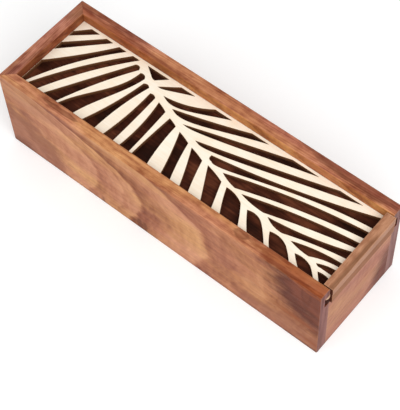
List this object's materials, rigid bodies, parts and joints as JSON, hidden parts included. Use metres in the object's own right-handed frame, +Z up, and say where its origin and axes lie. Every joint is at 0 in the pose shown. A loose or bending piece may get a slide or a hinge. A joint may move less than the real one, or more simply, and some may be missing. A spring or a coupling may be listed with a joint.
{
  "type": "sliding lid pencil box",
  "caption": "Long wooden pencil box with a sliding lid of pale palm frond fretwork over a dark panel, recessed between grooved sides.",
  "frame": {"origin": "on the underside, at the middle of the whole box with its lid shut", "axes": "+X along the box towards the open end, -Y the near long side, +Z up"},
  "size_m": [0.2214, 0.068, 0.06],
  "materials": {
    "case_wood": "oiled satin",
    "bottom_wood": "plain sanded",
    "lid_backing": "dark stained",
    "pale_fretwork": "plain sanded",
    "rail_wood": "oiled satin"
  },
  "bodies": {
    "case": {"near_side_board": "case_wood", "far_side_board": "case_wood", "closed_end_board": "case_wood", "open_end_board": "case_wood", "bottom_panel": "bottom_wood"},
    "lid": {"lid_panel": "lid_backing", "lid_fretwork": "pale_fretwork", "lid_end_rail": "rail_wood"}
  },
  "joints": [
    {"name": "lid_slide", "type": "slide", "parent": "case", "child": "lid", "axis": [1, 0, 0], "range_m": [0, 0.22]}
  ]
}
